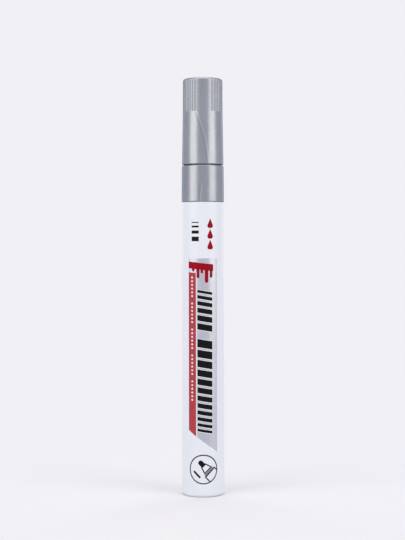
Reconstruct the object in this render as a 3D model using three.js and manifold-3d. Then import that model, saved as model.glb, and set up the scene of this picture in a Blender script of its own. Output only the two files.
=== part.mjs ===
// A valve-action paint marker, standing on its closed end with the cap on.
// Millimetres, +Z up. The origin is the centre of the foot, and the printed side faces -Y.

import * as THREE from 'three';
import { mergeVertices } from 'three/addons/utils/BufferGeometryUtils.js';
import Module from 'manifold-3d';

const wasm = await Module();
wasm.setup();

// How finely round pieces are divided
const outerSides = 48;
const innerSides = 36;
const smallSides = 24;
const arcSteps = 3;

// Fits shared by several pieces
const slipFit = 0.05;
const looseFit = 0.15;

// Aluminium barrel, closed at the foot
const barrelDiameter = 14.2;
const barrelWall = 0.5;
const barrelLength = 97.2;
const barrelFloor = 0.7;
const footRound = 0.6;
const footWidth = 1.8;
const footRecess = 0.3;
const floorRound = 0.6;

// Collar sleeve, pushed into the barrel's open end
const collarLength = 12.1;
const collarStep = 0.07;
const collarTaper = 0.1;
const collarFootRound = 0.25;
const collarTopChamfer = 0.35;
const plugLength = 11;
const plugWall = 1.2;
const plugLeadIn = 0.6;
const plugRibCount = 3;
const plugRibPitch = 2.6;
const plugRibHeight = 0.2;
const plugRibWidth = 0.8;
const neckLength = 4.6;
const neckWall = 1.05;
const neckBeadHeight = 0.22;
const neckBeadLength = 1.2;
const neckBeadRise = 1.4;
const ledgeRise = 4.4;
const webThickness = 1.4;
const webLip = 0.2;

// Cap and its sealing liner
const capGap = 0.3;
const capStep = 0.05;
const capWall = 0.89;
const capTopThickness = 1.3;
const capMouthChamfer = 0.3;
const capEdgeRound = 0.6;
const skirtTaper = 0.28;
const gripTaper = 0.04;
const capBoreStep = 0.85;
const capBeadRecess = 0.1;
const linerWall = 0.75;
const linerCeiling = 0.8;
const linerTaper = 0.35;
const linerLap = 1.0;
const gripGroups = 4;
const groovesPerGroup = 6;
const groovePitchDegrees = 8.2;
const grooveLength = 10.9;
const grooveDepth = 0.18;
const grooveWidth = 0.46;
const gripTurnDegrees = 3;

// Nozzle, pushed into the sleeve's neck
const nozzleReach = 14.3;
const nozzleWall = 1.25;
const nozzleFlangeHeight = 1.1;
const nozzleFlangeInset = 0.1;
const bandHeight = 2.3;
const bandStep = 0.3;
const bandRibCount = 24;
const bandRibHeight = 0.22;
const bandRibWidth = 0.55;
const landHeight = 1.6;
const lipLength = 1.4;
const lipRound = 0.4;
const nozzleTipWall = 0.95;
const guideLength = 15.5;
const fluteCount = 4;
const fluteWidth = 0.8;
const fluteDepth = 0.45;

// Fibre nib
const nibDiameter = 3.2;
const nibStandout = 5.2;
const nibFit = 0.06;
const nibTaperLength = 2.6;
const nibTipRadius = 0.95;
const nibRearChamfer = 0.25;
const nibAir = 2.5;

// Valve in the sleeve's rear bore
const gasketThickness = 0.6;
const gasketWidth = 1.5;
const seatFlange = 2.2;
const portLength = 0.8;
const portGap = 0.4;
const cageStep = 0.95;
const cageWall = 1.0;
const windowCount = 4;
const windowWidth = 2.4;
const windowMargin = 0.6;
const shankRadius = 1.1;
const tailRadius = 1.0;
const stemDisc = 0.8;
const stemDiscGap = 0.5;
const stemRise = 0.4;
const stemHeadHeight = 0.8;
const stemHeadLip = 0.25;
const seatGap = 0.05;
const springLength = 8.4;
const springWire = 0.4;
const springTurns = 8;
const springEndPitch = 0.65;
const springRest = 0.03;
const spigotHeight = 1.2;
const retainerThickness = 1.2;
const retainerHoles = 4;
const retainerHoleRadius = 0.5;
const tailCover = 0.8;

// Loose steel ball that stirs the paint
const ballDiameter = 6.5;

// Heights, from the foot up
const floorTop = footRecess + barrelFloor;
const barrelTop = barrelLength;
const plugBottom = barrelTop - plugLength;
const collarTop = barrelTop + collarLength;
const neckTop = collarTop + neckLength;
const ledge = barrelTop + ledgeRise;
const webTop = ledge + webThickness;
const nibRear = webTop + stemRise;
const nozzleTop = neckTop + nozzleReach;
const nibTip = nozzleTop + nibStandout;
const linerCeilingBottom = nibTip + nibAir;
const linerTop = linerCeilingBottom + linerCeiling;
const capTop = linerTop + capTopThickness;
const capMouth = collarTop + capGap;
const flangeTop = neckTop + nozzleFlangeHeight;
const bandTop = flangeTop + bandHeight;
const landTop = bandTop + landHeight;
const linerMouth = landTop - linerLap;

// Radii, from the outside in
const barrelRadius = barrelDiameter / 2;
const barrelBore = barrelRadius - barrelWall;
const collarRadius = barrelRadius - collarStep;
const collarTopRadius = collarRadius - collarTaper;
const plugRibRadius = barrelBore - slipFit;
const plugRadius = plugRibRadius - plugRibHeight;
const rearBore = plugRadius - plugWall;
const capMouthRadius = collarTopRadius - capStep;
const gripRadius = capMouthRadius - skirtTaper;
const capTopRadius = gripRadius - gripTaper;
const capBore = capMouthRadius - capWall;
const capUpperBore = capBore - capBoreStep;
const neckBeadRadius = capBore - slipFit;
const neckRadius = neckBeadRadius - neckBeadHeight;
const frontBore = neckRadius - neckWall;
const linerRadius = capUpperBore - slipFit;
const linerMouthBore = linerRadius - linerWall;
const landRadius = linerMouthBore - slipFit;
const bandRadius = landRadius + bandStep;
const nozzleBase = frontBore - slipFit;
const chamberRadius = nozzleBase - nozzleWall;
const nibRadius = nibDiameter / 2;
const nibBore = nibRadius + nibFit;
const nozzleTipRadius = nibRadius + nozzleTipWall;
const webHole = chamberRadius - webLip;

// Valve sizes that follow from the bore that it sits in
const seatFlangeRadius = rearBore - slipFit;
const cageOuter = seatFlangeRadius - cageStep;
const cageInner = cageOuter - cageWall;
const portRadius = shankRadius + portGap;
const stemDiscRadius = cageInner - stemDiscGap;
const springRadius = (tailRadius + stemDiscRadius) / 2;
const seatTop = ledge - gasketThickness;
const seatBottom = seatTop - seatFlange;
const portBottom = seatTop - portLength;
const seatConeBottom = portBottom - (cageInner - portRadius);
const stemConeTop = portBottom - seatGap * Math.SQRT2 + (portRadius - shankRadius);
const stemDiscTop = stemConeTop - (stemDiscRadius - shankRadius);
const stemDiscBottom = stemDiscTop - stemDisc;
const spigotTop = stemDiscBottom - springLength;
const cageBottom = spigotTop - spigotHeight;
const retainerBottom = cageBottom - retainerThickness;
const tailBottom = spigotTop - tailCover;

// Materials of the real pieces
const silverPlastic = new THREE.MeshStandardMaterial({ color: 0x9fa1a8, roughness: 0.38, metalness: 0.75 });
const whiteLacquer = new THREE.MeshStandardMaterial({ color: 0xe9ecf4, roughness: 0.32, metalness: 0.0 });
const naturalPlastic = new THREE.MeshStandardMaterial({ color: 0xe4e3dc, roughness: 0.45, metalness: 0.0 });
const softPlastic = new THREE.MeshStandardMaterial({ color: 0xdfe1e2, roughness: 0.55, metalness: 0.0 });
const nibFibre = new THREE.MeshStandardMaterial({ color: 0xd9d6cc, roughness: 0.9, metalness: 0.0 });
const steel = new THREE.MeshStandardMaterial({ color: 0xb9bbc0, roughness: 0.25, metalness: 1.0 });
const sealRubber = new THREE.MeshStandardMaterial({ color: 0x2b2b2d, roughness: 0.8, metalness: 0.0 });

// A closed outline of [radius, height] points turned about the Z axis
function turned(outline, sides) {
  const points = outline.map(([radius, height]) => new THREE.Vector2(radius, height));
  return new THREE.LatheGeometry(points, sides).rotateX(Math.PI / 2);
}

// Points of an arc in an outline, as [radius, height] pairs
function arc(centreRadius, centreHeight, radius, startDegrees, endDegrees) {
  return Array.from({ length: arcSteps + 1 }, (_, step) => {
    const angle = THREE.MathUtils.degToRad(THREE.MathUtils.lerp(startDegrees, endDegrees, step / arcSteps));
    return [centreRadius + radius * Math.cos(angle), centreHeight + radius * Math.sin(angle)];
  });
}

// A closed geometry as a solid that can be cut and joined
function solidOf(geometry) {
  const bare = geometry.clone();
  bare.deleteAttribute('normal');
  bare.deleteAttribute('uv');
  const merged = mergeVertices(bare);
  return new wasm.Manifold(
    new wasm.Mesh({
      numProp: 3,
      vertProperties: new Float32Array(merged.attributes.position.array),
      triVerts: new Uint32Array(merged.index.array),
    }),
  );
}

// A solid back as a geometry
function geometryOf(solid) {
  const mesh = solid.getMesh();
  const geometry = new THREE.BufferGeometry();
  geometry.setAttribute('position', new THREE.BufferAttribute(mesh.vertProperties, 3));
  geometry.setIndex(new THREE.BufferAttribute(mesh.triVerts, 1));
  geometry.computeVertexNormals();
  return geometry;
}

// Copies of a tool spaced evenly round the Z axis
function aroundAxis(tool, count, startDegrees = 0) {
  return Array.from({ length: count }, (_, index) => {
    const angle = THREE.MathUtils.degToRad(startDegrees + (360 * index) / count);
    return solidOf(tool.clone().rotateZ(angle));
  });
}

function cutAll(body, tools) {
  return tools.reduce((left, tool) => left.subtract(tool), body);
}

// Impact-extruded tube with a rounded foot, and a shallow recess under the floor
function barrelGeometry() {
  const recessRadius = barrelRadius - footRound - footWidth;
  return turned([
    [0, footRecess],
    [recessRadius, footRecess],
    [recessRadius + footRecess, 0],
    ...arc(barrelRadius - footRound, footRound, footRound, -90, 0),
    [barrelRadius, barrelTop],
    [barrelBore, barrelTop],
    ...arc(barrelBore - floorRound, floorTop + floorRound, floorRound, 0, -90),
    [0, floorTop],
  ], outerSides);
}

// Ribs round the plug that grip the barrel's bore
function plugRibs() {
  const lowest = plugBottom + plugLeadIn + plugRibPitch / 2;
  return Array.from({ length: plugRibCount }, (_, index) => {
    const bottom = lowest + index * plugRibPitch;
    return [
      [plugRadius, bottom],
      [plugRibRadius, bottom + plugRibWidth / 2],
      [plugRibRadius, bottom + plugRibWidth],
      [plugRadius, bottom + plugRibWidth],
    ];
  }).flat();
}

// Collar that shows under the cap, with the plug below it and the cap's neck above it
function collarSleeveGeometry() {
  const beadBottom = collarTop + neckBeadRise;
  const outline = [
    [rearBore, plugBottom],
    [plugRadius - plugLeadIn / 2, plugBottom],
    [plugRadius, plugBottom + plugLeadIn],
    ...plugRibs(),
    [plugRadius, barrelTop],
    ...arc(collarRadius - collarFootRound, barrelTop + collarFootRound, collarFootRound, -90, 0),
    [collarTopRadius, collarTop - collarTopChamfer],
    [collarTopRadius - collarTopChamfer, collarTop],
    [neckRadius, collarTop],
    [neckRadius, beadBottom],
    [neckBeadRadius, beadBottom + neckBeadHeight],
    [neckBeadRadius, beadBottom + neckBeadLength - neckBeadHeight],
    [neckRadius, beadBottom + neckBeadLength],
    [neckRadius, neckTop],
    [frontBore, neckTop],
    [frontBore, webTop],
    [webHole, webTop],
    [webHole, ledge],
    [rearBore, ledge],
    [rearBore, plugBottom],
  ];
  return turned(outline, outerSides);
}

// V-shaped grip grooves in groups round the cap's top, each ending short below
function gripGrooves() {
  const section = new THREE.Shape([
    new THREE.Vector2(gripRadius - grooveDepth, 0),
    new THREE.Vector2(gripRadius + grooveDepth, -grooveWidth),
    new THREE.Vector2(gripRadius + grooveDepth, grooveWidth),
  ]);
  const groove = new THREE.ExtrudeGeometry(section, { depth: grooveLength + 1, bevelEnabled: false });
  groove.translate(0, 0, capTop - grooveLength);
  const middle = (groovesPerGroup - 1) / 2;
  const firstGroup = 360 / gripGroups / 2 + gripTurnDegrees;
  return Array.from({ length: groovesPerGroup }, (_, index) => {
    return aroundAxis(groove, gripGroups, firstGroup + (index - middle) * groovePitchDegrees);
  }).flat();
}

// Cap shell: a tapered skirt, a grip zone above it that hardly tapers, and a stepped bore
function capShellGeometry() {
  const recessBottom = collarTop + neckBeadRise - looseFit;
  const recessTop = recessBottom + neckBeadLength + 2 * looseFit;
  const shell = turned([
    [0, linerTop],
    [capUpperBore, linerTop],
    [capUpperBore, linerMouth - capBoreStep],
    [capBore, linerMouth - 2 * capBoreStep],
    [capBore, recessTop],
    [capBore + capBeadRecess, recessTop - capBeadRecess],
    [capBore + capBeadRecess, recessBottom + capBeadRecess],
    [capBore, recessBottom],
    [capBore, capMouth],
    [capMouthRadius - capMouthChamfer, capMouth],
    [capMouthRadius, capMouth + capMouthChamfer],
    [gripRadius, capTop - grooveLength],
    ...arc(capTopRadius - capEdgeRound, capTop - capEdgeRound, capEdgeRound, 0, 90),
    [0, capTop],
  ], outerSides);
  return geometryOf(cutAll(solidOf(shell), gripGrooves()));
}

// Soft liner in the cap that seals on the nozzle's land
function innerCapGeometry() {
  return turned([
    [0, linerCeilingBottom],
    [linerMouthBore - linerTaper, linerCeilingBottom],
    [linerMouthBore, landTop],
    [linerMouthBore, linerMouth],
    [linerRadius, linerMouth],
    [linerRadius, linerTop],
    [0, linerTop],
  ], outerSides);
}

// Nozzle that guides the nib: foot, flange, ribbed band, sealing land, cone and lip
function nozzleGeometry() {
  const lipBottom = nozzleTop - lipLength;
  const guideBottom = nozzleTop - guideLength;
  const body = solidOf(turned([
    [chamberRadius, webTop],
    [nozzleBase, webTop],
    [nozzleBase, neckTop],
    [neckRadius - nozzleFlangeInset, neckTop],
    [neckRadius - nozzleFlangeInset, flangeTop],
    [bandRadius, flangeTop],
    [bandRadius, bandTop],
    [landRadius, bandTop],
    [landRadius, landTop],
    [nozzleTipRadius, lipBottom],
    [nozzleTipRadius, nozzleTop - lipRound],
    [nozzleTipRadius - lipRound, nozzleTop],
    [nibBore, nozzleTop],
    [nibBore, guideBottom],
    [chamberRadius, guideBottom - (chamberRadius - nibBore)],
    [chamberRadius, webTop],
  ], outerSides));
  const rib = new THREE.BoxGeometry(2 * bandRibHeight, bandRibWidth, bandHeight + bandRibHeight);
  rib.translate(bandRadius, 0, flangeTop + (bandHeight - bandRibHeight) / 2);
  const ribbed = aroundAxis(rib, bandRibCount).reduce((joined, one) => joined.add(one), body);
  const fluteReach = guideLength + chamberRadius;
  const flute = new THREE.BoxGeometry(2 * (fluteDepth + nibFit), fluteWidth, 2 * fluteReach);
  flute.translate(nibRadius, 0, nozzleTop);
  return geometryOf(cutAll(ribbed, aroundAxis(flute, fluteCount, 360 / fluteCount / 2)));
}

// Bullet-pointed fibre rod
function nibGeometry() {
  const tipCentre = nibTip - nibTipRadius;
  return turned([
    [0, nibRear],
    [nibRadius - nibRearChamfer, nibRear],
    [nibRadius, nibRear + nibRearChamfer],
    [nibRadius, tipCentre - nibTaperLength],
    ...arc(0, tipCentre, nibTipRadius, 0, 90).slice(0, -1),
    [0, nibTip],
  ], smallSides);
}

// Flat sealing ring between the valve seat and the sleeve's ledge
function valveGasketGeometry() {
  return turned([
    [seatFlangeRadius - gasketWidth, seatTop],
    [seatFlangeRadius, seatTop],
    [seatFlangeRadius, ledge],
    [seatFlangeRadius - gasketWidth, ledge],
    [seatFlangeRadius - gasketWidth, seatTop],
  ], innerSides);
}

// Valve seat: a flange with a conical port, and a cage below it with windows for the paint
function valveSeatGeometry() {
  const body = solidOf(turned([
    [cageInner, cageBottom],
    [cageOuter, cageBottom],
    [cageOuter, seatBottom],
    [seatFlangeRadius, seatBottom],
    [seatFlangeRadius, seatTop],
    [portRadius, seatTop],
    [portRadius, portBottom],
    [cageInner, seatConeBottom],
    [cageInner, cageBottom],
  ], innerSides));
  const windowBottom = spigotTop + windowMargin;
  const windowTop = seatConeBottom - windowMargin;
  const window = new THREE.BoxGeometry(2 * cageOuter, windowWidth, windowTop - windowBottom);
  window.translate(cageOuter, 0, (windowTop + windowBottom) / 2);
  return geometryOf(cutAll(body, aroundAxis(window, windowCount)));
}

// Valve stem: a tail inside the spring, a disc and cone that close the port, and a head under the nib
function valveStemGeometry() {
  const headBottom = nibRear - stemHeadHeight;
  return turned([
    [0, tailBottom],
    [tailRadius, tailBottom],
    [tailRadius, stemDiscBottom],
    [stemDiscRadius, stemDiscBottom],
    [stemDiscRadius, stemDiscTop],
    [shankRadius, stemConeTop],
    [shankRadius, headBottom - stemHeadLip],
    [shankRadius + stemHeadLip, headBottom],
    [shankRadius + stemHeadLip, nibRear],
    [0, nibRear],
  ], smallSides);
}

// Compression spring of one wire, whose end turns lie closer than the rest
class SpringLine extends THREE.Curve {
  getPoint(share) {
    const bottom = spigotTop + springWire / 2 + springRest;
    const top = stemDiscBottom - springWire / 2 - springRest;
    const turn = share * springTurns;
    const openPitch = (top - bottom - 2 * springEndPitch) / (springTurns - 2);
    const lowPart = Math.min(turn, 1) * springEndPitch;
    const openPart = THREE.MathUtils.clamp(turn - 1, 0, springTurns - 2) * openPitch;
    const highPart = Math.max(turn - springTurns + 1, 0) * springEndPitch;
    const angle = 2 * Math.PI * turn;
    return new THREE.Vector3(
      springRadius * Math.cos(angle),
      springRadius * Math.sin(angle),
      bottom + lowPart + openPart + highPart,
    );
  }
}

function valveSpringGeometry() {
  const wireSides = 6;
  const stepsPerTurn = 12;
  const section = new THREE.Shape(
    Array.from({ length: wireSides }, (_, side) => {
      const angle = (2 * Math.PI * side) / wireSides;
      return new THREE.Vector2((springWire / 2) * Math.cos(angle), (springWire / 2) * Math.sin(angle));
    }),
  );
  return new THREE.ExtrudeGeometry(section, {
    steps: springTurns * stepsPerTurn,
    extrudePath: new SpringLine(),
    bevelEnabled: false,
  });
}

// Cap pushed into the cage's foot that carries the spring and guides the stem's tail
function springRetainerGeometry() {
  const tailHole = tailRadius + looseFit;
  const spigotRadius = cageInner - slipFit;
  const body = solidOf(turned([
    [tailHole, retainerBottom],
    [cageOuter, retainerBottom],
    [cageOuter, cageBottom],
    [spigotRadius, cageBottom],
    [spigotRadius, spigotTop],
    [tailHole, spigotTop],
    [tailHole, retainerBottom],
  ], innerSides));
  const holeCircle = (tailHole + spigotRadius) / 2;
  const hole = new THREE.CylinderGeometry(retainerHoleRadius, retainerHoleRadius, springLength, 8);
  hole.rotateX(Math.PI / 2).translate(holeCircle, 0, spigotTop);
  return geometryOf(cutAll(body, aroundAxis(hole, retainerHoles)));
}

// Steel ball resting on the barrel's floor
function mixingBallGeometry() {
  const ball = new THREE.SphereGeometry(ballDiameter / 2, 20, 12);
  return ball.rotateX(Math.PI / 2).translate(0, 0, floorTop + ballDiameter / 2);
}

const marker = new THREE.Group();

function place(name, geometry, material) {
  const mesh = new THREE.Mesh(geometry, material);
  mesh.name = name;
  marker.add(mesh);
}

place('barrel', barrelGeometry(), whiteLacquer);
place('collar_sleeve', collarSleeveGeometry(), silverPlastic);
place('cap_shell', capShellGeometry(), silverPlastic);
place('inner_cap', innerCapGeometry(), softPlastic);
place('nozzle', nozzleGeometry(), naturalPlastic);
place('nib', nibGeometry(), nibFibre);
place('valve_gasket', valveGasketGeometry(), sealRubber);
place('valve_seat', valveSeatGeometry(), naturalPlastic);
place('valve_stem', valveStemGeometry(), naturalPlastic);
place('valve_spring', valveSpringGeometry(), steel);
place('spring_retainer', springRetainerGeometry(), naturalPlastic);
place('mixing_ball', mixingBallGeometry(), steel);

export default marker;
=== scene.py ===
from math import atan2, cos, pi, radians, sin, sqrt, tau

import bmesh
import bpy
from mathutils import Matrix, Vector


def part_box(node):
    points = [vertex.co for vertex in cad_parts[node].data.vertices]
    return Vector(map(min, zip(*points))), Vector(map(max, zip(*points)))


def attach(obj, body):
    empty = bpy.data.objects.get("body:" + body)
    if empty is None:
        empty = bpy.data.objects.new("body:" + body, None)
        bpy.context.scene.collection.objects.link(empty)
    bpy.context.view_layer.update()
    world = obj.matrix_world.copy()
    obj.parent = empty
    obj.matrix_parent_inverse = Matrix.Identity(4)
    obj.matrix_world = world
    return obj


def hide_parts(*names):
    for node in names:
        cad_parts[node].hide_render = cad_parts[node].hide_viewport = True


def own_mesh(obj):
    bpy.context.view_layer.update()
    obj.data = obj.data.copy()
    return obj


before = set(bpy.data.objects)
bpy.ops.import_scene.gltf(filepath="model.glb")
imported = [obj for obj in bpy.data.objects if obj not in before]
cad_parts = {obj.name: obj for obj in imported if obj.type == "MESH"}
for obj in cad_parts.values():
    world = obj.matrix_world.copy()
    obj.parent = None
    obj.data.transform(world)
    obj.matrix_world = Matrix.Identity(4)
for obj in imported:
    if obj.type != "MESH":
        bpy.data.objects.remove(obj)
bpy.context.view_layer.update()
scene = bpy.context.scene
mm = 0.001

# The camera stands 415 mm in front of the marker, a little above half its height, and is tipped
# down a touch. Its lens is long, so the marker's sides look straight.
camera_distance = 415 * mm
camera_height = 84.06 * mm
camera_aside = -0.12 * mm
camera_tip = 1.29
camera_roll = 0.09
camera_lens = 83.1
nearest_seen = 10 * mm

camera_data = bpy.data.cameras.new("camera")
camera_data.lens = camera_lens
camera_data.clip_start = nearest_seen
camera = bpy.data.objects.new("camera", camera_data)
camera.location = (camera_aside, -camera_distance, camera_height)
camera.rotation_euler = (radians(90 - camera_tip), radians(camera_roll), 0)
scene.collection.objects.link(camera)
scene.camera = camera

# Barrel: one aluminium cup, drawn out by impact extrusion, with a rounded foot round a shallow
# recess. It is lacquered bluish white all over, and its mouth takes the collar sleeve's plug.
barrel_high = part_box("barrel")[1]
barrel_radius = barrel_high.x
barrel_top = barrel_high.z
barrel_wall = 0.5 * mm
barrel_bore = barrel_radius - barrel_wall
foot_round = 1.0 * mm
foot_width = 1.8 * mm
foot_recess = 0.3 * mm
floor_top = 1.0 * mm
floor_round = 0.6 * mm
mouth_round, mouth_inner_round = 0.12 * mm, 0.06 * mm
tight_round, edge_round, full_round, soft_round = 0.05 * mm, 0.1 * mm, 0.15 * mm, 0.2 * mm
round_segments = 5
spin_steps, fine_spin_steps = 144, 192
merge_distance = 0.0005 * mm
sharp_angle = 35
noise_low, noise_high = 0.3, 0.7
lacquer_colour = (0.777, 0.820, 0.913)


def turned(corners, steps=spin_steps):
    """A bmesh spun about the Z axis from the corners of an outline. A corner is a radius, a height
    and, where it is rounded, the length that the round takes off each side."""
    mesh = bmesh.new()
    line = [mesh.verts.new((corner[0], 0, corner[1])) for corner in corners]
    ends = line[1:] if corners[0][0] == 0 else line[1:] + line[:1]
    for start, end in zip(line, ends):
        mesh.edges.new((start, end))
    for vert, corner in zip(line, corners):
        if len(corner) == 3:
            bmesh.ops.bevel(mesh, geom=[vert], offset=corner[2], offset_type="OFFSET",
                            segments=round_segments, profile=0.5, affect="VERTICES", material=-1)
    bmesh.ops.spin(mesh, geom=mesh.verts[:] + mesh.edges[:], cent=(0, 0, 0), axis=(0, 0, 1),
                   angle=tau, steps=steps, use_merge=True)
    bmesh.ops.remove_doubles(mesh, verts=mesh.verts, dist=merge_distance)
    bmesh.ops.recalc_face_normals(mesh, faces=mesh.faces)
    return mesh


def piece(name, mesh, material):
    """An object made from a finished bmesh, smooth but for its sharp edges."""
    data = bpy.data.meshes.new(name)
    mesh.to_mesh(data)
    mesh.free()
    data.polygons.foreach_set("use_smooth", [True] * len(data.polygons))
    data.set_sharp_from_angle(angle=radians(sharp_angle))
    data.materials.append(material)
    made = bpy.data.objects.new(name, data)
    scene.collection.objects.link(made)
    made.modifiers.new("weighted_normals", "WEIGHTED_NORMAL").keep_sharp = True
    return made


def surface(name, colour, metallic, roughness):
    """A material and its shader, with the values that are the same all over."""
    material = bpy.data.materials.new(name)
    material.use_nodes = True
    shader = material.node_tree.nodes["Principled BSDF"]
    shader.inputs["Base Color"].default_value = (*colour, 1)
    shader.inputs["Metallic"].default_value = metallic
    shader.inputs["Roughness"].default_value = roughness
    return material, shader


def add_node(material, kind, inputs, **settings):
    """A node's outputs, once its inputs hold the numbers given or are joined to other outputs."""
    node = material.node_tree.nodes.new(kind)
    for name, value in settings.items():
        setattr(node, name, value)
    for name, value in inputs.items():
        if isinstance(value, bpy.types.NodeSocket):
            material.node_tree.links.new(value, node.inputs[name])
        else:
            node.inputs[name].default_value = value
    return node.outputs


def combined(material, operation, first, *others):
    """Numbers or outputs put together in turn by one operation, such as a sum or a product."""
    result = first
    for other in others:
        result = add_node(material, "ShaderNodeMath", {0: result, 1: other}, operation=operation)[0]
    return result


def clouds(material, size, low, high, stretch=1.0, detail=2.0):
    """Noise whose lumps are about as wide as size, spread so that it runs from low to high. They
    are longer up the Z axis by stretch."""
    place = add_node(material, "ShaderNodeTexCoord", {})["Object"]
    drawn = add_node(material, "ShaderNodeMapping", {"Vector": place, "Scale": (1, 1, 1 / stretch)})[0]
    lumps = {"Vector": drawn, "Scale": 1 / size, "Detail": detail}
    noise = add_node(material, "ShaderNodeTexNoise", lumps)[0]
    spread = {"Value": noise, "From Min": noise_low, "From Max": noise_high, "To Min": low, "To Max": high}
    return add_node(material, "ShaderNodeMapRange", spread)[0]


def shade(material, shader, colour, amount):
    """The shader's colour, lightened or darkened by the amount from place to place."""
    scaled = {0: colour, "Scale": amount}
    shaded = add_node(material, "ShaderNodeVectorMath", scaled, operation="SCALE")[0]
    material.node_tree.links.new(shaded, shader.inputs["Base Color"])


def relief(material, shader, height, depth):
    """Small bumps as high as depth where the height is one."""
    bump = add_node(material, "ShaderNodeBump", {"Height": height, "Distance": depth, "Strength": 1.0})[0]
    material.node_tree.links.new(bump, shader.inputs["Normal"])


def vary(material, shader, name, amount):
    """One of the shader's inputs, given an amount that changes from place to place."""
    material.node_tree.links.new(amount, shader.inputs[name])


lacquer, lacquer_shader = surface("white_lacquer", lacquer_colour, metallic=0.0, roughness=0.34)
lacquer_shader.inputs["Coat Weight"].default_value = 0.22
lacquer_shader.inputs["Coat Roughness"].default_value = 0.07
shade(lacquer, lacquer_shader, lacquer_colour, clouds(lacquer, 9 * mm, 0.985, 1.015, stretch=3))
vary(lacquer, lacquer_shader, "Roughness", clouds(lacquer, 0.8 * mm, 0.30, 0.38))
relief(lacquer, lacquer_shader, clouds(lacquer, 1.3 * mm, 0, 1), depth=0.0012 * mm)

barrel = piece("lacquered_barrel", turned([
    (0, foot_recess),
    (barrel_radius - foot_round - foot_width, foot_recess, full_round),
    (barrel_radius - foot_round - foot_width + foot_recess, 0, edge_round),
    (barrel_radius, 0, foot_round),
    (barrel_radius, barrel_top, mouth_round),
    (barrel_bore, barrel_top, mouth_inner_round),
    (barrel_bore, floor_top, floor_round),
    (0, floor_top),
], steps=fine_spin_steps), lacquer)
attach(barrel, "pen_body")
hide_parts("barrel")

# Print: thin layers of ink round the barrel's front. A silver panel with a slanted foot is printed
# first, then the red, the white and the black over it. All of it is plain bars, dots, drops and
# lines. Each shape is laid out flat, cut into narrow strips and bent round the barrel.
ink_layer = 0.008 * mm
strip_width = 0.35 * mm
shape_round_segments = 6
shape_merge_distance, strip_cut_distance = 0.001 * mm, 0.0001 * mm
panel_left, panel_right = -5.07 * mm, 5.0 * mm
panel_top = 78.66 * mm
panel_foot_left, panel_foot_right = 22.14 * mm, 14.87 * mm
stripe_right = -2.34 * mm
stripe_top, stripe_top_right = 74.1 * mm, 73.9 * mm
hairline_right = -2.08 * mm
silver_ink_colour = (0.498, 0.522, 0.592)
pale_red_colour = (0.425, 0.056, 0.070)
deep_red_colour = (0.31, 0.001, 0.013)
black_ink_colour = (0.006, 0.006, 0.008)
white_ink_colour = (0.80, 0.82, 0.88)


def panel_foot(along):
    """The height of the panel's slanted foot at a place along the barrel's front."""
    share = (along - panel_left) / (panel_right - panel_left)
    return panel_foot_left + share * (panel_foot_right - panel_foot_left)


def add_shape(sheet, corners):
    """A flat shape on a sheet of ink, from the corners of its outline. A corner is a place along
    the barrel's front, a height and, where it is rounded, the length that the round takes off."""
    outline = [sheet.verts.new((corner[0], 0, corner[1])) for corner in corners]
    for pair in zip(outline, outline[1:] + outline[:1]):
        sheet.edges.new(pair)
    kept = set(sheet.verts) - set(outline)
    for vert, corner in zip(outline, corners):
        if len(corner) == 3:
            bmesh.ops.bevel(sheet, geom=[vert], offset=corner[2], offset_type="OFFSET",
                            segments=shape_round_segments, profile=0.5, affect="VERTICES", material=-1)
    added = [vert for vert in sheet.verts if vert not in kept]
    bmesh.ops.remove_doubles(sheet, verts=added, dist=shape_merge_distance)
    edges = [edge for edge in sheet.edges if not kept.intersection(edge.verts)]
    return bmesh.ops.contextual_create(sheet, geom=edges)["faces"]


def add_bar(sheet, left, right, top, thickness, lean=0.0, rounding=None):
    """A bar across the sheet, whose right end is lower or higher by its lean."""
    ends = ((left, top), (right, top), (right, top - thickness), (left, top - thickness))
    corners = [(along, height + lean * (along - left)) for along, height in ends]
    if rounding:
        corners = [(*corner, rounding) for corner in corners]
    return add_shape(sheet, corners)


def upright_circle(mesh, steps, radius, filled=False):
    """The verts of a circle that faces along the Y axis."""
    verts = bmesh.ops.create_circle(mesh, segments=steps, radius=radius, cap_ends=filled)["verts"]
    bmesh.ops.rotate(mesh, verts=verts, matrix=Matrix.Rotation(pi / 2, 3, "X"))
    return verts


def printed(name, sheet, layer, material):
    """The sheet as ink of an even thickness, bent round the barrel on top of the layers below."""
    strips = int((panel_right - panel_left) / strip_width) + 2
    for strip in range(strips):
        bmesh.ops.bisect_plane(sheet, geom=sheet.verts[:] + sheet.edges[:] + sheet.faces[:],
                               dist=strip_cut_distance, plane_no=(1, 0, 0),
                               plane_co=(panel_left + strip * strip_width, 0, 0))
    bmesh.ops.remove_doubles(sheet, verts=sheet.verts, dist=shape_merge_distance)
    sheet.normal_update()
    bmesh.ops.reverse_faces(sheet, faces=[face for face in sheet.faces if face.normal.y < 0])
    bmesh.ops.solidify(sheet, geom=sheet.faces[:], thickness=ink_layer)
    middle = sum(vert.co.y for vert in sheet.verts) / len(sheet.verts)
    for vert in sheet.verts:
        outer = ink_layer if vert.co.y < middle else 0
        radius = barrel_radius + layer * ink_layer + outer
        angle = vert.co.x / barrel_radius
        vert.co = (radius * sin(angle), -radius * cos(angle), vert.co.z)
    bmesh.ops.recalc_face_normals(sheet, faces=sheet.faces)
    made = piece(name, sheet, material)
    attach(made, "pen_body")
    return made


def ink(name, colour, metallic=0.0, roughness=0.36, gloss=0.08):
    """Printing ink: a little uneven in shade and gloss, as a thin screened layer is."""
    material, shader = surface(name, colour, metallic, roughness)
    shader.inputs["Specular IOR Level"].default_value = gloss
    shade(material, shader, colour, clouds(material, 0.45 * mm, 0.95, 1.05))
    vary(material, shader, "Roughness", clouds(material, 0.6 * mm, roughness - 0.05, roughness + 0.05))
    return material


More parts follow.
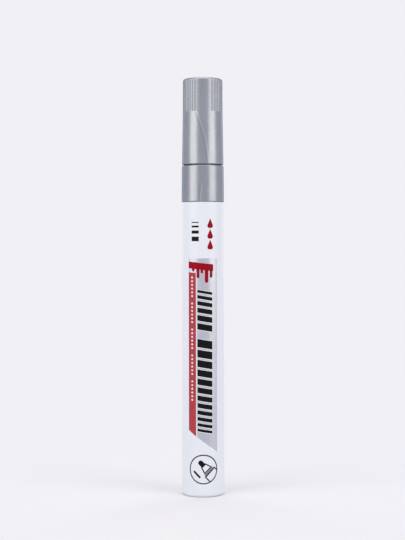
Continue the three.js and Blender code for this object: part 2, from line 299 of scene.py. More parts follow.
silver_sheet = bmesh.new()
add_shape(silver_sheet, [(panel_left, panel_top), (panel_right, panel_top),
                         (panel_right, panel_foot_right), (panel_left, panel_foot_left)])
silver_ink = ink("silver_ink", silver_ink_colour, metallic=0.8, roughness=0.31, gloss=0.5)
printed("silver_panel", silver_sheet, 0, silver_ink)

stripe_sheet = bmesh.new()
add_shape(stripe_sheet, [(panel_left, stripe_top), (stripe_right, stripe_top_right),
                         (stripe_right, panel_foot(stripe_right)), (panel_left, panel_foot_left)])
printed("red_stripe", stripe_sheet, 1, ink("pale_red_ink", pale_red_colour))

# The red run of paint across the panel's head, with tongues, each a middle, a width and a length
# in millimetres, and three drops above the panel
run_top, run_foot = 77.1 * mm, 74.9 * mm
run_right = 3.5 * mm
run_slope = -0.11
run_fillet = 0.3 * mm
run_tongues = ((2.75, 0.95, 2.3), (1.2, 1.15, 4.1), (-0.35, 0.8, 1.2), (-1.65, 1.0, 2.9), (-3.3, 0.9, 0.9))
tongue_rounding = 0.48
drop_place = 2.45 * mm
drop_heights = (89.9 * mm, 86.4 * mm, 82.9 * mm)
drop_tip, drop_base, drop_half, drop_fillet = 1.9 * mm, 1.3 * mm, 1.35 * mm, 1.25 * mm

run_corners = [(panel_left, run_top), (run_right, run_top, run_fillet), (run_right, run_foot, run_fillet)]
for middle, width, length in run_tongues:
    left, right = (middle - width / 2) * mm, (middle + width / 2) * mm
    low_end = run_foot - length * mm
    fillet = tongue_rounding * width * mm
    run_corners += [(right, run_foot, run_fillet), (right, low_end, fillet),
                    (left, low_end, fillet), (left, run_foot, run_fillet)]
run_corners.append((panel_left, run_foot))
red_sheet = bmesh.new()
add_shape(red_sheet, [(along, height + run_slope * along, *fillet)
                      for along, height, *fillet in run_corners])
for height in drop_heights:
    low_end = height - drop_base
    add_shape(red_sheet, [(drop_place, height + drop_tip), (drop_place + drop_half, low_end, drop_fillet),
                          (drop_place - drop_half, low_end, drop_fillet)])
printed("red_marks", red_sheet, 2, ink("deep_red_ink", deep_red_colour))

# The black bars down the panel, with white round them, and the white dots down the red stripe. A
# group of bars is a top, a count, and the thickness of its first bar and its last. Four lines of
# growing width stand above the panel.
bars_left, bars_right = -1.88 * mm, 3.15 * mm
bars_slant = -0.17
bar_gap = 0.8 * mm
bar_edge = 0.17 * mm
bar_groups = ((68.4 * mm, 6, 0.9 * mm, 2.1 * mm), (52.3 * mm, 12, 2.7 * mm, 0.9 * mm))
dot_place = -3.72 * mm
dot_radius = 0.34 * mm
dot_steps = 16
dot_pitch = 1.22 * mm
dot_count = 35
dots_start = 72.4 * mm
dots_in_group = 7
sample_left, sample_right = -3.84 * mm, -1.37 * mm
sample_lines = ((90.6 * mm, 0.3 * mm), (89.4 * mm, 0.6 * mm), (87.8 * mm, 1.0 * mm), (85.8 * mm, 1.5 * mm))

black_sheet = bmesh.new()
white_sheet = bmesh.new()
for top, count, first, last in bar_groups:
    for number in range(count):
        thickness = first + (last - first) * number / (count - 1)
        add_bar(black_sheet, bars_left, bars_right, top, thickness, bars_slant)
        add_bar(white_sheet, bars_left - bar_edge, bars_right + bar_edge, top + bar_edge,
                thickness + 2 * bar_edge, bars_slant)
        top -= thickness + bar_gap
for top, thickness in sample_lines:
    add_bar(black_sheet, sample_left, sample_right, top, thickness)
hairline_length = stripe_top_right - panel_foot(hairline_right)
add_bar(white_sheet, stripe_right, hairline_right, stripe_top_right, hairline_length)
for number in range(dot_count):
    if number % dots_in_group < dots_in_group - 1:
        dot = upright_circle(white_sheet, dot_steps, dot_radius, filled=True)
        bmesh.ops.translate(white_sheet, verts=dot, vec=(dot_place, 0, dots_start - number * dot_pitch))
printed("white_marks", white_sheet, 2, ink("white_ink", white_ink_colour))
printed("black_marks", black_sheet, 3, ink("black_ink", black_ink_colour, roughness=0.3))

# The line drawing of a nib in a ring near the foot, which tells the kind of point. It is drawn with
# its point to the left and then turned, and a short stroke stands beside it.
ring_place = Vector((0.12 * mm, 0, 9.3 * mm))
ring_radius = 4.9 * mm
ring_steps = 96
line_width = 0.38 * mm
drawing_turn = 45
point_axis = 0.85 * mm
point_front, point_rear, point_half = -3.0 * mm, -1.0 * mm, 0.76 * mm
point_round, point_flare = 0.68 * mm, 0.1 * mm
cone_front, cone_half_rear, cone_half_front = 1.4 * mm, 1.05 * mm, 1.75 * mm
band_half = 2.0 * mm
band_lines, band_line_width = (1.5 * mm, 1.8 * mm), 0.2 * mm
shoulder = 2.05 * mm
shoulder_half = 2.2 * mm
stroke_left, stroke_right, stroke_top = -2.0 * mm, 1.2 * mm, -2.4 * mm
stroke_thickness, stroke_round = 0.66 * mm, 0.32 * mm


def outlined(sheet, corners):
    """A closed line round the corners, as wide as the drawing's lines."""
    faces = add_shape(sheet, corners)
    bmesh.ops.inset_region(sheet, faces=faces, thickness=line_width, use_even_offset=True,
                           use_boundary=True)
    bmesh.ops.delete(sheet, geom=faces, context="FACES")


drawing_sheet = bmesh.new()
upright_circle(drawing_sheet, ring_steps, ring_radius - line_width)
upright_circle(drawing_sheet, ring_steps, ring_radius)
bmesh.ops.bridge_loops(drawing_sheet, edges=drawing_sheet.edges[:])
add_shape(drawing_sheet, [
    (point_front, point_axis + point_half, point_round),
    (point_front, point_axis - point_half, point_round),
    (point_rear, point_axis - point_half - point_flare),
    (point_rear, point_axis + point_half + point_flare),
])
outlined(drawing_sheet, [
    (point_rear, point_axis + cone_half_rear),
    (point_rear, point_axis - cone_half_rear),
    (cone_front, point_axis - cone_half_front),
    (cone_front, point_axis + cone_half_front),
])
for left in band_lines:
    add_bar(drawing_sheet, left, left + band_line_width, point_axis + band_half, 2 * band_half)
for side in (-1, 1):
    edge = point_axis + side * shoulder_half
    ring_edge = sqrt((ring_radius - line_width / 2) ** 2 - edge ** 2)
    add_bar(drawing_sheet, shoulder, ring_edge, edge + line_width / 2, line_width)
add_bar(drawing_sheet, shoulder, shoulder + line_width, point_axis + band_half, 2 * band_half)
add_bar(drawing_sheet, stroke_left, stroke_right, stroke_top, stroke_thickness, rounding=stroke_round)
bmesh.ops.transform(drawing_sheet, verts=drawing_sheet.verts,
                    matrix=Matrix.Rotation(radians(drawing_turn), 4, "Y"))
bmesh.ops.translate(drawing_sheet, vec=ring_place, verts=drawing_sheet.verts)
printed("nib_drawing", drawing_sheet, 0, ink("drawing_ink", black_ink_colour, roughness=0.3))

# Collar sleeve: one moulding in silver-flaked plastic. Its collar shows under the cap, its ribbed
# plug grips the barrel's bore, and its neck has the bead that the cap snaps over.
sleeve_low, sleeve_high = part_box("collar_sleeve")
plug_bottom, neck_top = sleeve_low.z, sleeve_high.z
collar_top = barrel_top + 12.1 * mm
ledge = barrel_top + 4.4 * mm
web_top = ledge + 1.4 * mm
press_gap = 0.05 * mm
collar_radius = barrel_radius - 0.07 * mm
collar_taper = 0.1 * mm
collar_foot_round, collar_top_round = 0.38 * mm, 0.34 * mm
rib_radius = barrel_bore - press_gap
rib_count, first_rib, rib_pitch = 3, 1.9, 2.6
rib_slope, rib_length = 0.4 * mm, 0.8 * mm
plug_radius = rib_radius - 0.2 * mm
lead_inset, lead_height = 0.3 * mm, 0.6 * mm
rear_bore = plug_radius - 1.2 * mm
neck_radius = 5.72 * mm
bead_rise, bead_length = 0.22 * mm, 1.2 * mm
bead_radius = neck_radius + bead_rise
bead_bottom = collar_top + 1.4 * mm
front_bore = neck_radius - 1.05 * mm
web_hole = 3.17 * mm
silver_colour = (0.310, 0.331, 0.376)
silver_glance = (0.57, 0.61, 0.66, 1)
# Where the mould's etching roughens the plastic, a painted shade also darkens its colour by this share.
painted_shade_depth, etched_roughness, dulled_and_shaded_fade = 0.04, 0.05, 0.3 * mm
line_sides = ((0.8, -0.18), (-0.8, 0.26))
collar_tone = 0.965
collar_line = {"foot": (-0.95 * mm, 97.2 * mm), "head": 103.2 * mm, "reach": 0.35 * mm, "bend": 1.6,
               "width": 0.3 * mm}


def flow_line(material, foot, head, reach, bend, width):
    """Where the melt met in the mould: a faint dark line with a light one on its right, on the
    front. It starts at the foot, a place across and a height, and leans by reach at its head."""
    place = add_node(material, "ShaderNodeTexCoord", {})["Object"]
    across, depth, height = add_node(material, "ShaderNodeSeparateXYZ", {"Vector": place})
    rise = {"Value": height, "From Min": foot[1], "From Max": head}
    risen = add_node(material, "ShaderNodeMapRange", rise)[0]
    lean = combined(material, "MULTIPLY", combined(material, "POWER", risen, bend), reach)
    centre = combined(material, "ADD", lean, foot[0])
    away = combined(material, "DIVIDE", combined(material, "SUBTRACT", across, centre), width)
    lines = []
    for shift, strength in line_sides:
        moved = combined(material, "ADD", away, shift)
        falling = combined(material, "MULTIPLY", moved, moved, -1.0)
        bell = add_node(material, "ShaderNodeMath", {0: falling}, operation="EXPONENT")[0]
        lines.append(combined(material, "MULTIPLY", bell, strength))
    both = combined(material, "ADD", *lines)
    front = combined(material, "LESS_THAN", depth, 0.0)
    below = combined(material, "LESS_THAN", height, head)
    return combined(material, "MULTIPLY", both, front, below)


def silver_plastic(name, tone, line, dulled_and_shaded_from):
    """Silver-flaked plastic, as light as its tone: satin, with fine sparkle, faint streaks up it and
    one flow line. From a height up it is duller, where the mould's etching roughens it, and darker by a
    painted shade: on the cap over its grooved grip, on the sleeve over the collar's top edge and the neck,
    in the gap under the cap."""
    material, shader = surface(name, silver_colour, metallic=1.0, roughness=0.29)
    shader.inputs["Specular Tint"].default_value = silver_glance
    flake = clouds(material, 0.12 * mm, -0.035, 0.035, detail=0)
    streaks = clouds(material, 0.9 * mm, -0.035, 0.035, stretch=14)
    mottle = clouds(material, 5 * mm, -0.03, 0.03, stretch=2)
    amount = combined(material, "ADD", flake, streaks, mottle, tone, flow_line(material, **line))
    place = add_node(material, "ShaderNodeTexCoord", {})["Object"]
    height = add_node(material, "ShaderNodeSeparateXYZ", {"Vector": place})["Z"]
    rise = {"Value": height, "From Min": dulled_and_shaded_from - dulled_and_shaded_fade, "From Max": dulled_and_shaded_from}
    dulled_and_shaded = add_node(material, "ShaderNodeMapRange", rise)[0]
    # Painted shade: from the same height up, the colour is darker.
    painted_shade = combined(material, "MULTIPLY", dulled_and_shaded, painted_shade_depth)
    shade(material, shader, silver_colour, combined(material, "SUBTRACT", amount, painted_shade))
    satin = clouds(material, 0.9 * mm, 0.27, 0.32, stretch=3)
    dulling = combined(material, "MULTIPLY", dulled_and_shaded, etched_roughness)
    vary(material, shader, "Roughness", combined(material, "ADD", satin, dulling))
    relief(material, shader, clouds(material, 0.4 * mm, 0, 1, stretch=3, detail=0), depth=0.0005 * mm)
    return material


def plug_rib(bottom):
    """The corners of one rib of the plug, seen in section."""
    return [(plug_radius, bottom), (rib_radius, bottom + rib_slope),
            (rib_radius, bottom + rib_length, edge_round), (plug_radius, bottom + rib_length)]


# On the sleeve the painted shade starts at the collar's top edge and covers the neck in the gap under the
# cap.
collar_plastic = silver_plastic("silver_plastic_collar", collar_tone, collar_line, collar_top)
plug_ribs = []
for number in range(rib_count):
    plug_ribs += plug_rib(plug_bottom + (first_rib + rib_pitch * number) * mm)
sleeve = piece("sleeve", turned([
    (rear_bore, plug_bottom, soft_round),
    (plug_radius - lead_inset, plug_bottom, full_round),
    (plug_radius, plug_bottom + lead_height),
    *plug_ribs,
    (plug_radius, barrel_top),
    (collar_radius, barrel_top, collar_foot_round),
    (collar_radius - collar_taper, collar_top, collar_top_round),
    (neck_radius, collar_top, edge_round),
    (neck_radius, bead_bottom),
    (bead_radius, bead_bottom + bead_rise, full_round),
    (bead_radius, bead_bottom + bead_length - bead_rise, full_round),
    (neck_radius, bead_bottom + bead_length),
    (neck_radius, neck_top, edge_round),
    (front_bore, neck_top, edge_round),
    (front_bore, web_top),
    (web_hole, web_top, edge_round),
    (web_hole, ledge, edge_round),
    (rear_bore, ledge),
], steps=fine_spin_steps), collar_plastic)
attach(sleeve, "pen_body")
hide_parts("collar_sleeve")

# Cap shell: a tapered moulding in the same plastic, closed at the top, with the mark of the
# mould's gate in the middle. Four groups of six grip grooves run down from its top edge, and its
# bore snaps over the neck's bead.
cap_low, cap_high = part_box("cap_shell")
cap_mouth, cap_top = cap_low.z, cap_high.z
cap_mouth_radius = cap_high.x
skirt_taper = 0.28 * mm
grip_taper = 0.04 * mm
cap_mouth_round, cap_top_round = 0.3 * mm, 0.8 * mm
cap_bore = cap_mouth_radius - 0.89 * mm
bore_step = 0.85 * mm
upper_bore = cap_bore - bore_step
snap_bottom, snap_top = bead_bottom - 0.15 * mm, bead_bottom + 1.35 * mm
snap_depth = 0.1 * mm
liner_low, liner_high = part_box("inner_cap")
liner_mouth, liner_top = liner_low.z, liner_high.z
cap_steps = 704
groove_groups = 4
grooves_in_group = 6
groove_pitch = 16
groove_spread = 5
groove_depth = 0.11 * mm
groove_end = cap_top - 10.9 * mm
groove_end_rows = (0.5 * mm, 0.2 * mm, 0)
row_slack = 0.05 * mm
group_turn = 6
gate_radius, gate_depth, gate_round = 1.3 * mm, 0.16 * mm, 0.08 * mm
pip_radius, pip_height = 0.42 * mm, 0.1 * mm
pip_top = cap_top - gate_depth + pip_height
cap_tone = 1.0
cap_line = {"foot": (1.7 * mm, 109.8 * mm), "head": 126.9 * mm, "reach": -4.0 * mm, "bend": 1.7,
            "width": 0.3 * mm}


def cap_side(height):
    """The cap's outer radius at a height. The skirt narrows up to the grooves, and the grip less."""
    if height < groove_end:
        return cap_mouth_radius - skirt_taper * (height - cap_mouth) / (groove_end - cap_mouth)
    return cap_mouth_radius - skirt_taper - grip_taper * (height - groove_end) / (cap_top - groove_end)


def pressed(mesh, steps, low, high, shaped):
    """Moves part of a spun mesh: the verts between two corners, each a radius and a height, take
    the radius that is given for their column of the steps, their height and their radius."""
    for vert in mesh.verts:
        distance = vert.co.xy.length
        if low[0] < distance < high[0] and low[1] < vert.co.z < high[1]:
            column = round(atan2(vert.co.y, vert.co.x) / tau * steps) % steps
            vert.co.xy *= shaped(column, vert.co.z, distance) / distance


def grooved(column, height, distance):
    """The cap's radius in a groove, or between two."""
    return min(distance, cap_side(height) - groove_depths.get(column, 0))


groove_depths = {}
for group in range(groove_groups):
    group_middle = group * cap_steps // groove_groups + cap_steps // (2 * groove_groups) + group_turn
    for number in range(grooves_in_group):
        groove_middle = group_middle + groove_pitch * (2 * number - grooves_in_group + 1) // 2
        for side in range(1 - groove_spread, groove_spread):
            share = (1 + cos(pi * side / groove_spread)) / 2
            groove_depths[(groove_middle + side) % cap_steps] = groove_depth * share

cap_mesh = turned([
    (0, liner_top),
    (upper_bore, liner_top, full_round),
    (upper_bore, liner_mouth - bore_step),
    (cap_bore, liner_mouth - 2 * bore_step),
    (cap_bore, snap_top),
    (cap_bore + snap_depth, snap_top - snap_depth),
    (cap_bore + snap_depth, snap_bottom + snap_depth),
    (cap_bore, snap_bottom),
    (cap_bore, cap_mouth, soft_round),
    (cap_mouth_radius, cap_mouth, cap_mouth_round),
    *((cap_side(groove_end - drop), groove_end - drop) for drop in groove_end_rows),
    (cap_side(cap_top), cap_top, cap_top_round),
    (gate_radius, cap_top, gate_round),
    (gate_radius - gate_depth, cap_top - gate_depth, gate_round),
    (pip_radius, cap_top - gate_depth),
    (pip_radius, pip_top, tight_round),
    (0, pip_top),
], steps=cap_steps)
pressed(cap_mesh, cap_steps, (cap_side(cap_top) - groove_depth, groove_end - row_slack),
        (cap_mouth_radius, cap_top + mm), grooved)
# On the cap the painted shade covers the grooved grip.
cap = piece("cap", cap_mesh, silver_plastic("silver_plastic_cap", cap_tone, cap_line, groove_end))
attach(cap, "cap")
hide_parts("cap_shell")

# Liner: a soft polyethylene cup pressed into the cap. Its mouth grips the nozzle's land, so the
# nib doesn't dry out while the cap is on.
liner_radius = upper_bore - press_gap
liner_bore = liner_radius - 0.75 * mm
liner_ceiling = liner_top - 0.8 * mm
liner_draft, ceiling_round = 0.35 * mm, 0.5 * mm
land_top = liner_mouth + 1.0 * mm
liner_colour = (0.70, 0.71, 0.72)

soft_plastic, soft_shader = surface("soft_plastic", liner_colour, metallic=0.0, roughness=0.45)
soft_shader.inputs["Subsurface Weight"].default_value = 0.3
soft_shader.inputs["Subsurface Scale"].default_value = 1.2 * mm
soft_shader.inputs["Subsurface Radius"].default_value = (1, 0.95, 0.9)
shade(soft_plastic, soft_shader, liner_colour, clouds(soft_plastic, 2 * mm, 0.97, 1.03, stretch=3))
vary(soft_plastic, soft_shader, "Roughness", clouds(soft_plastic, 0.7 * mm, 0.40, 0.52))
relief(soft_plastic, soft_shader, clouds(soft_plastic, 0.4 * mm, 0, 1), depth=0.004 * mm)

liner = piece("liner", turned([
    (0, liner_ceiling),
    (liner_bore - liner_draft, liner_ceiling, ceiling_round),
    (liner_bore, land_top),
    (liner_bore, liner_mouth, soft_round),
    (liner_radius, liner_mouth, edge_round),
    (liner_radius, liner_top, edge_round),
    (0, liner_top),
]), soft_plastic)
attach(liner, "cap")
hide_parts("inner_cap")

# Nozzle: an undyed moulding pushed into the sleeve's neck up to its flange. Above the ribbed band
# that it is gripped by stands the land for the liner, and a cone leads to the nib's lip.
nozzle_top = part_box("nozzle")[1].z
nozzle_base = front_bore - press_gap
chamber_radius = nozzle_base - 1.25 * mm
nib_low, nib_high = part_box("nib")
nib_radius = nib_high.x
nib_bore = nib_radius + 0.06 * mm
lip_radius = nib_radius + 0.95 * mm
lip_height = 1.4 * mm
lip_foot_round, lip_round = 0.3 * mm, 0.4 * mm
flange_radius = neck_radius - 0.1 * mm
flange_top = neck_top + 1.1 * mm
band_top = flange_top + 2.3 * mm
land_radius = liner_bore - press_gap
band_radius = land_radius + 0.3 * mm
guide_bottom = nozzle_top - 15.5 * mm
rib_columns = 6
rib_height = 0.22 * mm
rib_foot_row, rib_head_row = 0.1 * mm, 0.3 * mm
flute_count = 4
flute_spread = 5
flute_depth = 0.4 * mm
natural_colour = (0.74, 0.73, 0.68)

natural_plastic, natural_shader = surface("natural_plastic", natural_colour, metallic=0.0, roughness=0.4)
natural_shader.inputs["Subsurface Weight"].default_value = 0.25
natural_shader.inputs["Subsurface Scale"].default_value = 0.8 * mm
natural_shader.inputs["Subsurface Radius"].default_value = (1, 0.9, 0.75)
natural_patches = clouds(natural_plastic, 2.5 * mm, 0.97, 1.03, stretch=2)
shade(natural_plastic, natural_shader, natural_colour, natural_patches)
vary(natural_plastic, natural_shader, "Roughness", clouds(natural_plastic, 0.5 * mm, 0.36, 0.46))
relief(natural_plastic, natural_shader, clouds(natural_plastic, 0.25 * mm, 0, 1), depth=0.003 * mm)


def ribbed(column, height, distance):
    """The band's radius, on a rib or between two."""
    return distance + (rib_height if column % rib_columns < rib_columns // 2 else 0)


def fluted(column, height, distance):
    """The guide's radius, in one of the flutes that let the paint by, or between two."""
    into_flute = (column + flute_spread - spin_steps // (2 * flute_count)) % (spin_steps // flute_count)
    return distance + (flute_depth if into_flute <= 2 * flute_spread else 0)


nozzle_mesh = turned([
    (chamber_radius, web_top),
    (nozzle_base, web_top, soft_round),
    (nozzle_base, neck_top),
    (flange_radius, neck_top, edge_round),
    (flange_radius, flange_top, soft_round),
    (band_radius, flange_top),
    (band_radius, flange_top + rib_foot_row),
    (band_radius, band_top - rib_head_row),
    (band_radius, band_top, edge_round),
    (land_radius, band_top),
    (land_radius, land_top, soft_round),
    (lip_radius, nozzle_top - lip_height, lip_foot_round),
    (lip_radius, nozzle_top, lip_round),
    (nib_bore, nozzle_top),
    (nib_bore, guide_bottom),
    (chamber_radius, guide_bottom - chamber_radius + nib_bore),
])
pressed(nozzle_mesh, spin_steps, (band_radius - row_slack, flange_top + rib_foot_row / 2),
        (band_radius + row_slack, band_top - (rib_head_row + edge_round) / 2), ribbed)
pressed(nozzle_mesh, spin_steps, (0, guide_bottom - row_slack),
        (nib_bore + row_slack, nozzle_top + mm), fluted)
nozzle = piece("nozzle_moulding", nozzle_mesh, natural_plastic)
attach(nozzle, "pen_body")
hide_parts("nozzle")

# Nib: a rod of bonded fibre with a bullet point, not yet wetted with paint. It slides in the
# nozzle, and its rear end stands on the valve stem.
point_length, point_shoulder_round = 3.6 * mm, 0.8 * mm
tip_radius, tip_round = nib_radius - 0.62 * mm, 0.92 * mm
nib_end_round = 0.25 * mm
nib_steps = 96
nib_colour = (0.66, 0.63, 0.56)

fibre, fibre_shader = surface("nib_fibre", nib_colour, metallic=0.0, roughness=0.9)
shade(fibre, fibre_shader, nib_colour, clouds(fibre, 0.09 * mm, 0.82, 1.12, stretch=25, detail=1))
relief(fibre, fibre_shader, clouds(fibre, 0.07 * mm, 0, 1, stretch=20, detail=1), depth=0.02 * mm)

nib = piece("fibre_nib", turned([
    (0, nib_low.z),
    (nib_radius, nib_low.z, nib_end_round),
    (nib_radius, nib_high.z - point_length, point_shoulder_round),
    (tip_radius, nib_high.z, tip_round),
    (0, nib_high.z),
], steps=nib_steps), fibre)
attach(nib, "nib_body")
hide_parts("nib")

# Gasket: a flat ring cut from sealing rubber. It lies between the sleeve's ledge and the valve
# seat, so paint leaves the barrel only through the port.
gasket_low, gasket_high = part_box("valve_gasket")
gasket_radius = gasket_high.x
gasket_hole = gasket_radius - 1.5 * mm
rubber_colour = (0.022, 0.022, 0.024)

rubber, rubber_shader = surface("seal_rubber", rubber_colour, metallic=0.0, roughness=0.7)
shade(rubber, rubber_shader, rubber_colour, clouds(rubber, 0.5 * mm, 0.85, 1.15))
relief(rubber, rubber_shader, clouds(rubber, 0.12 * mm, 0, 1), depth=0.006 * mm)

gasket = piece("seal_ring", turned([
    (gasket_hole, gasket_low.z, tight_round),
    (gasket_radius, gasket_low.z, tight_round),
    (gasket_radius, gasket_high.z, tight_round),
    (gasket_hole, gasket_high.z, tight_round),
]), rubber)
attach(gasket, "pen_body")
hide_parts("valve_gasket")

# Valve seat: a moulded flange pressed into the sleeve's rear bore, with a conical port. The cage
# under it holds the spring, and its four windows let the paint in.
seat_low, seat_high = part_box("valve_seat")
cage_outer = gasket_radius - 0.95 * mm
cage_wall = 1.0 * mm
cage_inner = cage_outer - cage_wall
port_radius = 1.5 * mm
port_bottom = seat_high.z - 0.8 * mm
seat_bottom = seat_high.z - 2.2 * mm
cone_bottom = port_bottom - cage_inner + port_radius
window_bottom = seat_low.z + 1.8 * mm
window_top = cone_bottom - 0.6 * mm
window_count = 4
window_spread = 7
window_slack = 0.1 * mm


def opened(mesh, middle, spread, low, high):
    """Cuts one opening through a spun wall: the faces between two corners, each a radius and a
    height, go from both its sides, and the two rims are joined."""
    cut = []
    for face in mesh.faces:
        centre = face.calc_center_median()
        column = atan2(centre.y, centre.x) / tau * spin_steps
        off = (column - middle + spin_steps / 2) % spin_steps - spin_steps / 2
        if abs(off) < spread and low[0] < centre.xy.length < high[0] and low[1] < centre.z < high[1]:
            cut.append(face)
    bmesh.ops.delete(mesh, geom=cut, context="FACES")
    bmesh.ops.bridge_loops(mesh, edges=[edge for edge in mesh.edges if edge.is_boundary])


seat_mesh = turned([
    (cage_inner, seat_low.z, edge_round),
    (cage_outer, seat_low.z, edge_round),
    (cage_outer, window_bottom),
    (cage_outer, window_top),
    (cage_outer, seat_bottom),
    (gasket_radius, seat_bottom, full_round),
    (gasket_radius, seat_high.z, edge_round),
    (port_radius, seat_high.z, edge_round),
    (port_radius, port_bottom),
    (cage_inner, cone_bottom),
    (cage_inner, window_top),
    (cage_inner, window_bottom),
])
for number in range(window_count):
    opened(seat_mesh, number * spin_steps // window_count, window_spread,
           (cage_inner - window_slack, window_bottom), (cage_outer + window_slack, window_top))
seat = piece("seat_and_cage", seat_mesh, natural_plastic)
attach(seat, "pen_body")
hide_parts("valve_seat")

# Valve stem: a moulded pin. Its cone closes the port from below, its head stands under the nib,
# and its tail runs inside the spring.
stem_low, stem_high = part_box("valve_stem")
shank_radius = 1.1 * mm
tail_radius = 1.0 * mm
tail_round = 0.25 * mm
head_height, head_flare = 0.8 * mm, 0.25 * mm
head_radius = shank_radius + head_flare
head_bottom = stem_high.z - head_height
disc_radius = stem_high.x
cone_gap = 0.05 * mm
cone_top = port_bottom - cone_gap * sqrt(2) + port_radius - shank_radius
disc_top = cone_top - disc_radius + shank_radius
disc_bottom = disc_top - 0.8 * mm
stem_steps = 96

stem = piece("stem", turned([
    (0, stem_low.z),
    (tail_radius, stem_low.z, tail_round),
    (tail_radius, disc_bottom),
    (disc_radius, disc_bottom, edge_round),
    (disc_radius, disc_top),
    (shank_radius, cone_top),
    (shank_radius, head_bottom - head_flare),
    (head_radius, head_bottom),
    (head_radius, stem_high.z, edge_round),
    (0, stem_high.z),
], steps=stem_steps), natural_plastic)
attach(stem, "stem_body")
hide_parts("valve_stem")

# Valve spring: drawn stainless wire wound into eight turns, the first and last of them close. It
# stands on the retainer and pushes the stem up, and shortens by the stem's travel.
spring_low, spring_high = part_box("valve_spring")
wire_radius = 0.2 * mm
wire_steps = 12
spring_radius = (tail_radius + disc_radius) / 2
spring_turns = 8
end_pitch = 0.65 * mm
turn_steps = 40
wire_colour = (0.42, 0.42, 0.44)

wire, wire_shader = surface("spring_wire", wire_colour, metallic=1.0, roughness=0.3)
shade(wire, wire_shader, wire_colour, clouds(wire, 0.3 * mm, 0.9, 1.1))
vary(wire, wire_shader, "Roughness", clouds(wire, 0.1 * mm, 0.24, 0.38))

spring_mesh = bmesh.new()
wire_end = upright_circle(spring_mesh, wire_steps, wire_radius, filled=True)
bmesh.ops.translate(spring_mesh, verts=wire_end, vec=(spring_radius, 0, spring_low.z + wire_radius))
open_rise = spring_high.z - spring_low.z - 2 * wire_radius - 2 * end_pitch
wound = wire_end + spring_mesh.edges[:]
for turns, rise in ((1, end_pitch), (spring_turns - 2, open_rise), (1, end_pitch)):
    steps = turns * turn_steps
    result = bmesh.ops.spin(spring_mesh, geom=wound, cent=(0, 0, 0), axis=(0, 0, 1),
                            dvec=(0, 0, rise / steps), angle=turns * tau, steps=steps, use_merge=False)
    wound = result["geom_last"]
bmesh.ops.holes_fill(spring_mesh, edges=[edge for edge in spring_mesh.edges if edge.is_boundary], sides=0)
bmesh.ops.recalc_face_normals(spring_mesh, faces=spring_mesh.faces)
spring = piece("spring_coil", spring_mesh, wire)
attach(spring, "pen_body")
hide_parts("valve_spring")
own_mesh(spring)

# Spring retainer: a moulded disc whose spigot is pressed into the cage's foot. It carries the
# spring, guides the stem's tail and has four slots for the paint.
retainer_low, retainer_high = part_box("spring_retainer")
tail_hole = tail_radius + 0.15 * mm
spigot_radius = cage_inner - press_gap
slot_inset = 0.475 * mm
slot_inner = tail_hole + slot_inset
slot_outer = spigot_radius - slot_inset
slot_count = 4
slot_spread = 10

retainer_mesh = turned([
    (tail_hole, retainer_low.z, edge_round),
    (slot_inner, retainer_low.z),
    (slot_outer, retainer_low.z),
    (cage_outer, retainer_low.z, full_round),
    (cage_outer, seat_low.z, edge_round),
    (spigot_radius, seat_low.z),
    (spigot_radius, retainer_high.z, edge_round),
    (slot_outer, retainer_high.z),
    (slot_inner, retainer_high.z),
    (tail_hole, retainer_high.z, edge_round),
])
for number in range(slot_count):
    opened(retainer_mesh, number * spin_steps // slot_count, slot_spread,
           (slot_inner, retainer_low.z - mm), (slot_outer, retainer_high.z + mm))
retainer = piece("retainer", retainer_mesh, natural_plastic)
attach(retainer, "pen_body")
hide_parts("spring_retainer")

# Mixing ball: a polished stainless ball, loose in the barrel. It stirs the paint when the marker
# is shaken, and rests on the barrel's floor.
ball_low, ball_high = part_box("mixing_ball")
ball_radius = (ball_high.z - ball_low.z) / 2
ball_middle = (ball_high.z + ball_low.z) / 2
ball_subdivisions = 5
ball_colour = (0.55, 0.55, 0.57)

polished_steel, polished_shader = surface("polished_steel", ball_colour, metallic=1.0, roughness=0.12)
shade(polished_steel, polished_shader, ball_colour, clouds(polished_steel, 1.5 * mm, 0.96, 1.04))
vary(polished_steel, polished_shader, "Roughness", clouds(polished_steel, 0.35 * mm, 0.07, 0.2))

ball_mesh = bmesh.new()
bmesh.ops.create_icosphere(ball_mesh, subdivisions=ball_subdivisions, radius=ball_radius)
bmesh.ops.translate(ball_mesh, verts=ball_mesh.verts, vec=(0, 0, ball_middle))
ball = piece("steel_ball", ball_mesh, polished_steel)
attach(ball, "ball_body")
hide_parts("mixing_ball")

# The room: a pale table in a pale surround. The table is lit paper near the marker, where its shadow
# falls, and fades into the surround's colour further out. Two tall softboxes in front of the marker
# give the metal its two light bands, two narrow ones light its back, and a long one hangs over it.
room_colour = (0.875, 0.870, 0.910, 1)
room_light = 0.47
table_size = 3.0
table_colour = (0.832, 0.840, 0.890)
fade_start, fade_end = 12 * mm, 150 * mm
softbox_distance = 2.0
softbox_middle = 1.42
softbox_height = 2.8
softboxes = (("left_softbox", -54.5, 1.54, 1.74), ("right_softbox", 55.5, 1.36, 1.76),
             ("rear_left_softbox", -142, 0.34, 0.95), ("rear_right_softbox", 142, 0.34, 1.3))
overhead_height = 2.9
overhead_back = -0.1
overhead_width, overhead_depth = 2.2, 4.6
overhead_brightness = 1.35
softbox_tint = (1, 0.917, 0.79)
overhead_tint = (1, 1, 1)


def background_rays(owner):
    """One for the rays that show the background: the camera's, and those off metal or in glass."""
    ray = add_node(owner, "ShaderNodeLightPath", {})
    return combined(owner, "MAXIMUM", ray["Is Camera Ray"], ray["Is Glossy Ray"], ray["Is Transmission Ray"])


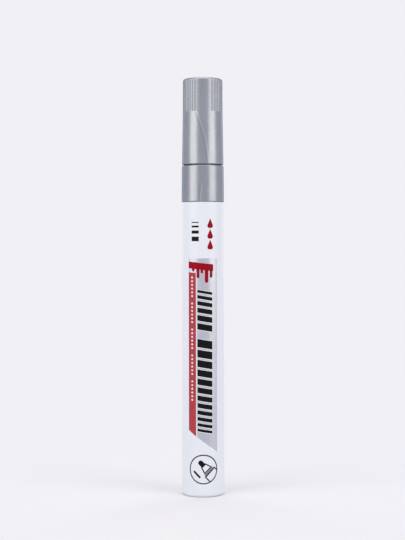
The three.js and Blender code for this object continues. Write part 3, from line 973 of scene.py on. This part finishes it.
def add_softbox(name, place, target, width, height, brightness, tint):
    """A rectangular lamp that faces the target, as bright all over as a surface of that value."""
    lamp = bpy.data.lights.new(name, "AREA")
    lamp.shape = "RECTANGLE"
    lamp.size = width
    lamp.size_y = height
    lamp.energy = brightness * pi * width * height
    lamp.color = tint
    softbox = bpy.data.objects.new(name, lamp)
    softbox.location = place
    softbox.visible_camera = False
    softbox.rotation_euler = (target - place).to_track_quat("-Z", "Y").to_euler()
    scene.collection.objects.link(softbox)


world = bpy.data.worlds.new("pale_surround")
scene.world = world
world.use_nodes = True
background = world.node_tree.nodes["Background"]
background.inputs["Color"].default_value = room_colour
shown_or_lit = {"Value": background_rays(world), "To Min": room_light, "To Max": 1.0}
strength = add_node(world, "ShaderNodeMapRange", shown_or_lit)[0]
world.node_tree.links.new(strength, background.inputs["Strength"])

table_mesh = bmesh.new()
bmesh.ops.create_grid(table_mesh, x_segments=1, y_segments=1, size=table_size)
table_paper, table_shader = surface("table_paper", table_colour, metallic=0.0, roughness=0.8)
table_place = add_node(table_paper, "ShaderNodeTexCoord", {})["Object"]
table_away = add_node(table_paper, "ShaderNodeVectorMath", {0: table_place}, operation="LENGTH")["Value"]
fading = {"Value": table_away, "From Min": fade_start, "From Max": fade_end}
table_fade = add_node(table_paper, "ShaderNodeMapRange", fading, interpolation_type="SMOOTHSTEP")[0]
table_glow = add_node(table_paper, "ShaderNodeEmission", {"Color": room_colour})[0]
table_sides = {0: table_fade, 1: table_shader.outputs[0], 2: table_glow}
table_mix = add_node(table_paper, "ShaderNodeMixShader", table_sides)[0]
table_output = table_paper.node_tree.nodes["Material Output"]
table_paper.node_tree.links.new(table_mix, table_output.inputs["Surface"])
piece("table", table_mesh, table_paper)

softbox_target = Vector((0, 0, softbox_middle))
for name, bearing, width, brightness in softboxes:
    place = Vector((sin(radians(bearing)), -cos(radians(bearing)), 0)) * softbox_distance
    place.z = softbox_middle
    add_softbox(name, place, softbox_target, width, softbox_height, brightness, softbox_tint)
add_softbox("overhead_softbox", Vector((0, overhead_back, overhead_height)), Vector((0, overhead_back, 0)),
            overhead_width, overhead_depth, overhead_brightness, overhead_tint)

scene.view_settings.view_transform = "Standard"
